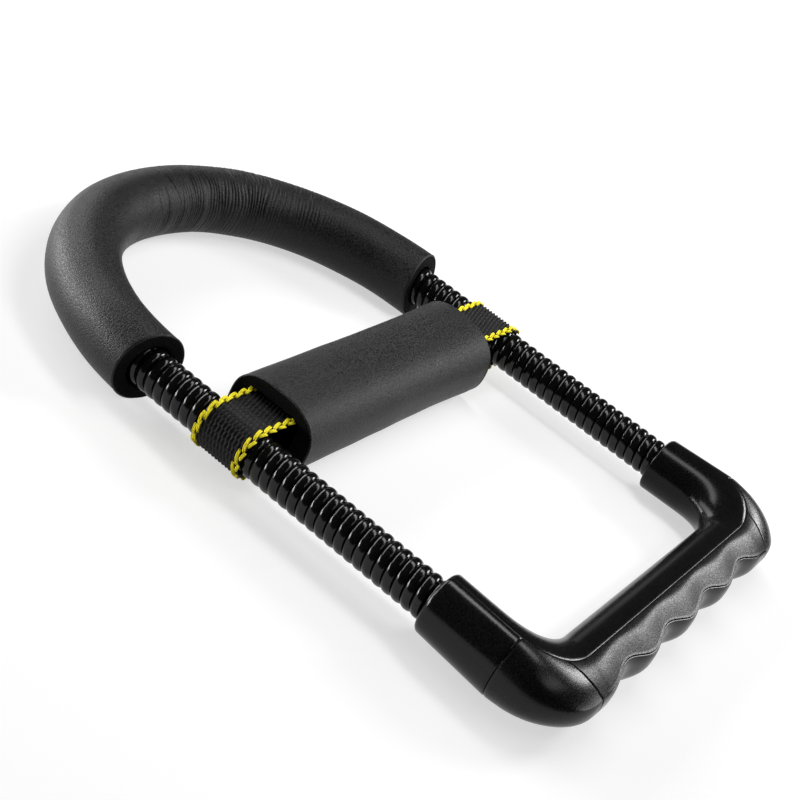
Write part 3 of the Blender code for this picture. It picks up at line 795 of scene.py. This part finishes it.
def inner_station(place_at, start):
    """A cut across the inner shell, from the crest to a matching place round the smaller inner corner."""
    cut = station(place_at)
    turn_x, turn_y = INNER_TURN
    if place_at < 0:
        inner = (-ARM_X + cut["rise"], turn_y + place_at / start * (-start - INNER_EXTRA))
    elif place_at <= 90:
        angle = math.radians(place_at)
        inner = (turn_x - INNER_CORNER * math.cos(angle), turn_y - INNER_CORNER * math.sin(angle))
    else:
        inner = (turn_x * (TURN_X + place_at - 90) / TURN_X, GRIP_Y + HANDLE_RADIUS)
    out = (cut["crest"][0] - inner[0], cut["crest"][1] - inner[1])
    cut["back"] = math.hypot(*out)
    cut["out"] = (out[0] / cut["back"], out[1] / cut["back"])
    return cut


def round_points(cut, angles, half_width):
    """Points of a plain oval cut, with its rise above the middle and its drop below it."""
    angles = np.radians(angles)
    up = np.sin(angles)
    up = np.where(up > 0, up * cut["rise"], up * cut["drop"])
    return np.stack((half_width * np.cos(angles), up), axis=-1)


def crest_fall(across, crown):
    """How far the grip's top lies under its crest: flat beside the seam, then an even slope."""
    return TOP_SLOPE * ((across ** 4 + crown ** 4) ** 0.25 - crown)


def outline(cut, half):
    """The outer line of one moulding at a cut, from its upper edge to its lower edge."""
    if half == "inner":
        return round_points(cut, np.linspace(90, 270, INNER_POINTS), cut["back"])
    finger_reach = cut["reach"] - FINGER_DEPTH * cut["groove"]
    crown = CREST_ROUND[0] + (CREST_ROUND[1] - CREST_ROUND[0]) * (1 - cut["groove"])
    lip_x = finger_reach
    for _ in range(LIP_ROUNDS):
        lip_z = cut["rise"] - crest_fall(lip_x, crown)
        lip_x = finger_reach * (1 - (lip_z / cut["rise"]) ** LOWER_POWER) ** (1 / LOWER_POWER)
    share = np.linspace(0, 1, TOP_POINTS)
    across = lip_x * share
    slope = np.stack((across, cut["rise"] - crest_fall(across, crown)), axis=-1)
    circle = round_points(cut, 90 + (LIP_ANGLE - 90) * share, cut["reach"])
    top = circle + (slope - circle) * cut["grip"]
    share = np.linspace(0, 1, LOWER_POINTS)
    start = math.asin((lip_z / cut["rise"]) ** (LOWER_POWER / 2))
    side = oval(start + (-math.pi / 2 - start) * share, finger_reach, 1.0, LOWER_POWER)
    side[:, 1] *= np.where(side[:, 1] > 0, cut["rise"], cut["drop"])
    circle = round_points(cut, LIP_ANGLE + (-90 - LIP_ANGLE) * share, cut["reach"])
    lower = circle + (side - circle) * cut["grip"]
    if half == "top":
        return top
    if half == "lower":
        return lower
    return np.concatenate((top, lower[1:]))


def edged(line, edge_sizes, trim):
    """Rounds both edges of a moulding's outer line, and shrinks it by a trim."""
    middle = line / np.linalg.norm(line, axis=1, keepdims=True)
    line = line - middle * trim
    ends = []
    for place_end, size in ((0, edge_sizes[0]), (-1, edge_sizes[1])):
        point = line[place_end]
        inward = -middle[place_end]
        onward = line[1] - line[0] if place_end == 0 else line[-2] - line[-1]
        onward = onward / np.linalg.norm(onward)
        between = (inward + onward) * size * EDGE_MIDDLE
        ends.append([point + inward * size, point + between, point + onward * size])
    return np.concatenate((ends[0], line[1:-1], ends[1][::-1]))


def cut_points(crest, out, points):
    """Points of a cut, as places round the part."""
    away, up = points[:, 0], points[:, 1]
    return np.stack((crest[0] + out[0] * away, crest[1] + out[1] * away, up), axis=-1)


def shell_ring(place_at, half, trim=0.0, start=None):
    """A ring of a moulding's skin, outside and inside. A start, the socket's mouth, gives it a round bore."""
    cut = inner_station(place_at, start) if half == "inner" else station(place_at)
    line = outline(cut, half)
    seam = SEAM_EDGE if place_at > 0 else ARM_SEAM_EDGE
    first_edge, last_edge = seam, MOULD_EDGE
    if half == "top":
        line = np.vstack((line[:-1], line[-1] + (0, LIP_GAP)))
        first_edge, last_edge = MOULD_EDGE, LIP_EDGE
    if half == "lower":
        line = np.vstack((line[0] - (0, LIP_GAP), line[1:]))
        first_edge, last_edge = LIP_EDGE, MOULD_EDGE
    outside = edged(line, (first_edge, last_edge), trim)
    size = np.linalg.norm(outside, axis=1, keepdims=True)
    inside = (outside * (SOCKET_BORE if start else size - SHELL_THICKNESS) / size)[::-1]
    sign = -1 if half == "inner" else 1
    gap = CREST_GAP if place_at > 0 else ARM_CREST_GAP
    for points in (outside, inside):
        points[:, 0] = sign * np.maximum(sign * points[:, 0], gap)
    across = np.concatenate((outside, inside))[:, 0]
    shares = np.clip(across / cut["reach"], 0, 1) ** ELBOW_END_CURVE
    outside[:, 0] -= cut["lean"]
    outside = cut_points(cut["crest"], cut["out"], outside)
    if start:
        inside = cut_points((-ARM_X, SEAM_Y - place_at), (-1, 0), inside)
    else:
        inside = cut_points(cut["crest"], cut["out"], inside)
    return np.concatenate((outside, inside)), shares


def slanted_rings(half, spans):
    """Rings that meet the crest at one place and the outer edge at another, from (crest, outer, trim)."""
    first = min(min(crest, outer) for crest, outer, _ in spans) - 1
    last = max(max(crest, outer) for crest, outer, _ in spans) + 1
    steps = int((last - first) / PLACE_STEP) + 1
    places = [first + PLACE_STEP * k for k in range(steps)]
    tables = {}
    rings = []
    for crest, outer, trim in spans:
        if trim not in tables:
            tables[trim] = np.array([shell_ring(place_at, half, trim)[0] for place_at in places])
        table = tables[trim]
        shares = shell_ring((crest + outer) / 2, half, trim)[1]
        at = (crest + (outer - crest) * shares - first) / PLACE_STEP
        low = np.clip(at.astype(int), 0, steps - 2)
        part = (at - low)[:, None]
        points = np.arange(len(low))
        rings.append(table[low, points] * (1 - part) + table[low + 1, points] * part)
    return rings


def mirrored(rings):
    """The left half's rings, then the same ones on the right."""
    return rings + [ring * (-1, 1, 1) for ring in rings[-2::-1]]


def moulding(name, node, rings, finish, mirror=False):
    """One moulding of the handle, as it is or turned over to the right side."""
    rings = np.array(rings)
    if mirror:
        rings = rings * (-1, 1, 1)
    piece = add_skin(name, rings, finish)
    piece.data.set_sharp_from_angle(angle=math.radians(SHARP_ANGLE))
    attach(piece, "handle")
    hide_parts(node)


def plastic(name, smooth, rough, strength, specular=0.17):
    """Black plastic whose fine grain breaks up its reflections."""
    return grained(
        name, scale=2200.0, dark=NEAR_BLACK, light=(0.007, 0.007, 0.0075), smooth=smooth, rough=rough,
        strength=strength, distance=0.0001, specular=specular,
    )


shell_finish = plastic("handle_plastic", smooth=0.14, rough=0.26, strength=0.10)
cover_finish = plastic("cover_plastic", smooth=0.24, rough=0.42, strength=0.35)
socket_finish = plastic("socket_plastic", smooth=0.13, rough=0.22, strength=0.15, specular=0.25)
elbow_finish = plastic("elbow_plastic", smooth=0.19, rough=0.32, strength=0.25, specular=0.25)


def arm_places(side):
    """Places along an arm from its socket's mouth to the corner, and how much the ring there is trimmed."""
    start = SEAM_Y - MOUTH_Y[side]
    places = [(start + run, trim) for run, trim in MOUTH_EDGE]
    return places + [(place_at, 0.0) for place_at in np.linspace(start + ARM_MARGIN, -ARM_MARGIN, ARM_RINGS)]


elbow_spans = []
for share in np.linspace(0, 1, ELBOW_RINGS):
    crest = CHAMFER_RUN + (ELBOW_END[0] - 2 * CHAMFER_RUN) * share
    outer = CHAMFER_RUN + (ELBOW_END[1] - 2 * CHAMFER_RUN) * share
    elbow_spans.append((crest, outer, CHAMFER if share in (0, 1) else 0.0))
grip_spans = []
for share in np.linspace(0, 1, SLANT_RINGS):
    crest = ELBOW_END[0] + CHAMFER_RUN + (GRIP_STRAIGHT - ELBOW_END[0]) * share
    outer = ELBOW_END[1] + CHAMFER_RUN + (GRIP_STRAIGHT - ELBOW_END[1]) * share
    grip_spans.append((crest, outer, 0.0 if share else CHAMFER))
straight_places = np.linspace(GRIP_STRAIGHT + 1, 90 - TURN_X, STRAIGHT_RINGS)
grip_spans += [(place_at, place_at, 0.0) for place_at in straight_places]

inner_arms = {}
socket_rings = {}
for side in MOUTH_Y:
    start = SEAM_Y - MOUTH_Y[side]
    places = arm_places(side)
    inner_arms[side] = [shell_ring(place_at, "inner", trim, start)[0] for place_at, trim in places]
    places += SOCKET_END_EDGE
    socket_rings[side] = [shell_ring(place_at, "outer", trim, start)[0] for place_at, trim in places]
corner_places = np.linspace(0, 90, CORNER_RINGS)
grip_places = np.linspace(90, 90 - TURN_X, GRIP_RINGS)[1:]
half_rings = [shell_ring(place_at, "inner")[0] for place_at in np.concatenate((corner_places, grip_places))]
right_arm = [ring * (-1, 1, 1) for ring in inner_arms["right"][::-1]]
inner_rings = inner_arms["left"] + mirrored(half_rings) + right_arm

moulding("inner_moulding", "handle_inner_shell", inner_rings, shell_finish)
elbow_rings = slanted_rings("outer", elbow_spans)
for side, mirror in (("left", False), ("right", True)):
    moulding(side + "_socket_moulding", side + "_socket_cover", socket_rings[side], socket_finish, mirror)
    moulding(side + "_elbow_moulding", side + "_elbow_cap", elbow_rings, elbow_finish, mirror)
moulding("grip_top_moulding", "grip_top_shell", mirrored(slanted_rings("top", grip_spans)), cover_finish)
moulding("finger_moulding", "finger_grip", mirrored(slanted_rings("lower", grip_spans)), shell_finish)


# Steel inside
# The bent bars, the collars and the screws are plain steel, and the tube in the foam is plain plastic. The
# mouldings, the foam and the springs hide nearly all of them.

STEEL_NODES = (
    "frame_bar", "handle_bar", "left_collar", "right_collar", "left_screw", "middle_screw", "right_screw",
)

steel_finish = grained(
    "bar_steel", scale=900.0, dark=(0.10, 0.10, 0.105), light=(0.20, 0.20, 0.21), smooth=0.35, rough=0.5,
    strength=0.2, distance=0.0002,
)
steel_finish.node_tree.nodes["Principled BSDF"].inputs["Metallic"].default_value = 1.0
tube_finish = grained(
    "spacer_tube", scale=900.0, dark=(0.02, 0.02, 0.02), light=(0.04, 0.04, 0.04), smooth=0.5, rough=0.7,
    strength=0.2, distance=0.0002,
)
for name in STEEL_NODES:
    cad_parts[name].material_slots[0].material = steel_finish
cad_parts["spacer_tube"].material_slots[0].material = tube_finish


# Floor, lights and camera
# A pale floor that shows white, with soft lamps all round: a bright one on the right for the elbows, two on
# the left that graze the foam, a near one over the sockets, and weak ones for the plastic's other sides.
# Distances here are in metres.

FLOOR_REACH = 30.0
FLOOR_GREY = (0.5, 0.5, 0.5, 1)
FLOOR_GLOW = (("From Min", 0.35), ("From Max", 1.6), ("To Min", 0.58), ("To Max", 1.0))
WORLD_GREY = (0.05, 0.05, 0.05, 1)
LAMP_FAR = 1.5
LAMP_NEAR = 0.34
CAMERA_PLACE = (-0.4966, -0.2017, 0.3139)
CAMERA_RIGHT = (0.5313, -0.7492, 0.3954)
CAMERA_DOWN = (-0.2422, -0.5816, -0.7766)
CAMERA_AHEAD = (0.8118, 0.3169, -0.4905)
FOCAL_PIXELS = 1606.68
PICTURE_SIDE = 800
SENSOR_WIDTH = 36

floor_mesh = bpy.data.meshes.new("floor")
corners = [(x * FLOOR_REACH, y * FLOOR_REACH, 0) for x, y in ((-1, -1), (1, -1), (1, 1), (-1, 1))]
floor_mesh.from_pydata(corners, [], [(0, 1, 2, 3)])
floor = bpy.data.objects.new("floor", floor_mesh)
bpy.context.scene.collection.objects.link(floor)
floor_finish, tree, shader = new_finish("floor_paper", 0.0, roughness=0.9)
shader.inputs["Base Color"].default_value = FLOOR_GREY
path = tree.nodes.new("ShaderNodeLightPath")
seen = math_node(tree, "MAXIMUM", path.outputs["Is Camera Ray"], path.outputs["Is Glossy Ray"])
seen = math_node(tree, "MAXIMUM", seen, path.outputs["Is Transmission Ray"])
spot = tree.nodes.new("ShaderNodeNewGeometry")
distance = tree.nodes.new("ShaderNodeVectorMath")
distance.operation = "LENGTH"
tree.links.new(spot.outputs["Position"], distance.inputs[0])
fade = tree.nodes.new("ShaderNodeMapRange")
fade.interpolation_type = "SMOOTHSTEP"
tree.links.new(distance.outputs["Value"], fade.inputs["Value"])
for label, value in FLOOR_GLOW:
    fade.inputs[label].default_value = value
glow = tree.nodes.new("ShaderNodeEmission")
glow.inputs["Color"].default_value = (1, 1, 1, 1)
tree.links.new(math_node(tree, "MULTIPLY", seen, fade.outputs["Result"]), glow.inputs["Strength"])
both = tree.nodes.new("ShaderNodeAddShader")
tree.links.new(shader.outputs["BSDF"], both.inputs[0])
tree.links.new(glow.outputs["Emission"], both.inputs[1])
tree.links.new(both.outputs["Shader"], tree.nodes["Material Output"].inputs["Surface"])
floor_mesh.materials.append(floor_finish)

world = bpy.data.worlds.new("studio")
world.use_nodes = True
world.node_tree.nodes["Background"].inputs["Color"].default_value = WORLD_GREY
bpy.context.scene.world = world


def add_lamp(name, azimuth, elevation, distance, size, power):
    """A soft rectangular lamp aimed at the trainer's middle."""
    lamp = bpy.data.lights.new(name, "AREA")
    lamp.shape = "RECTANGLE"
    lamp.size, lamp.size_y = size
    lamp.energy = power
    light = bpy.data.objects.new(name, lamp)
    bpy.context.scene.collection.objects.link(light)
    flat = math.radians(azimuth)
    up = math.radians(elevation)
    away = Vector((math.cos(flat) * math.cos(up), math.sin(flat) * math.cos(up), math.sin(up)))
    light.location = away * distance
    light.rotation_euler = away.to_track_quat("Z", "Y").to_euler()


add_lamp("right_box", azimuth=-22.0, elevation=30.5, distance=LAMP_FAR, size=(0.42, 0.36), power=10.0)
add_lamp("left_box", azimuth=80.0, elevation=28.0, distance=LAMP_FAR, size=(1.5, 0.42), power=12.0)
add_lamp("rim_box", azimuth=108.0, elevation=4.0, distance=LAMP_FAR, size=(1.5, 0.4), power=40.0)
add_lamp("top_box", azimuth=-16.0, elevation=77.0, distance=LAMP_NEAR, size=(0.32, 0.075), power=0.55)
add_lamp("high_box", azimuth=-85.0, elevation=57.0, distance=LAMP_FAR, size=(0.9, 0.3), power=2.2)
add_lamp("front_box", azimuth=-55.0, elevation=12.0, distance=LAMP_FAR, size=(1.2, 0.35), power=7.0)
add_lamp("low_box", azimuth=33.0, elevation=13.0, distance=LAMP_FAR, size=(0.5, 0.22), power=0.2)

camera_data = bpy.data.cameras.new("camera")
camera_data.sensor_width = SENSOR_WIDTH
camera_data.lens = SENSOR_WIDTH * FOCAL_PIXELS / PICTURE_SIDE
camera = bpy.data.objects.new("camera", camera_data)
bpy.context.scene.collection.objects.link(camera)
turned = Matrix((Vector(CAMERA_RIGHT), -Vector(CAMERA_DOWN), -Vector(CAMERA_AHEAD))).transposed().to_4x4()
turned.translation = Vector(CAMERA_PLACE)
camera.matrix_world = turned
bpy.context.scene.camera = camera
bpy.context.scene.view_settings.view_transform = "Standard"
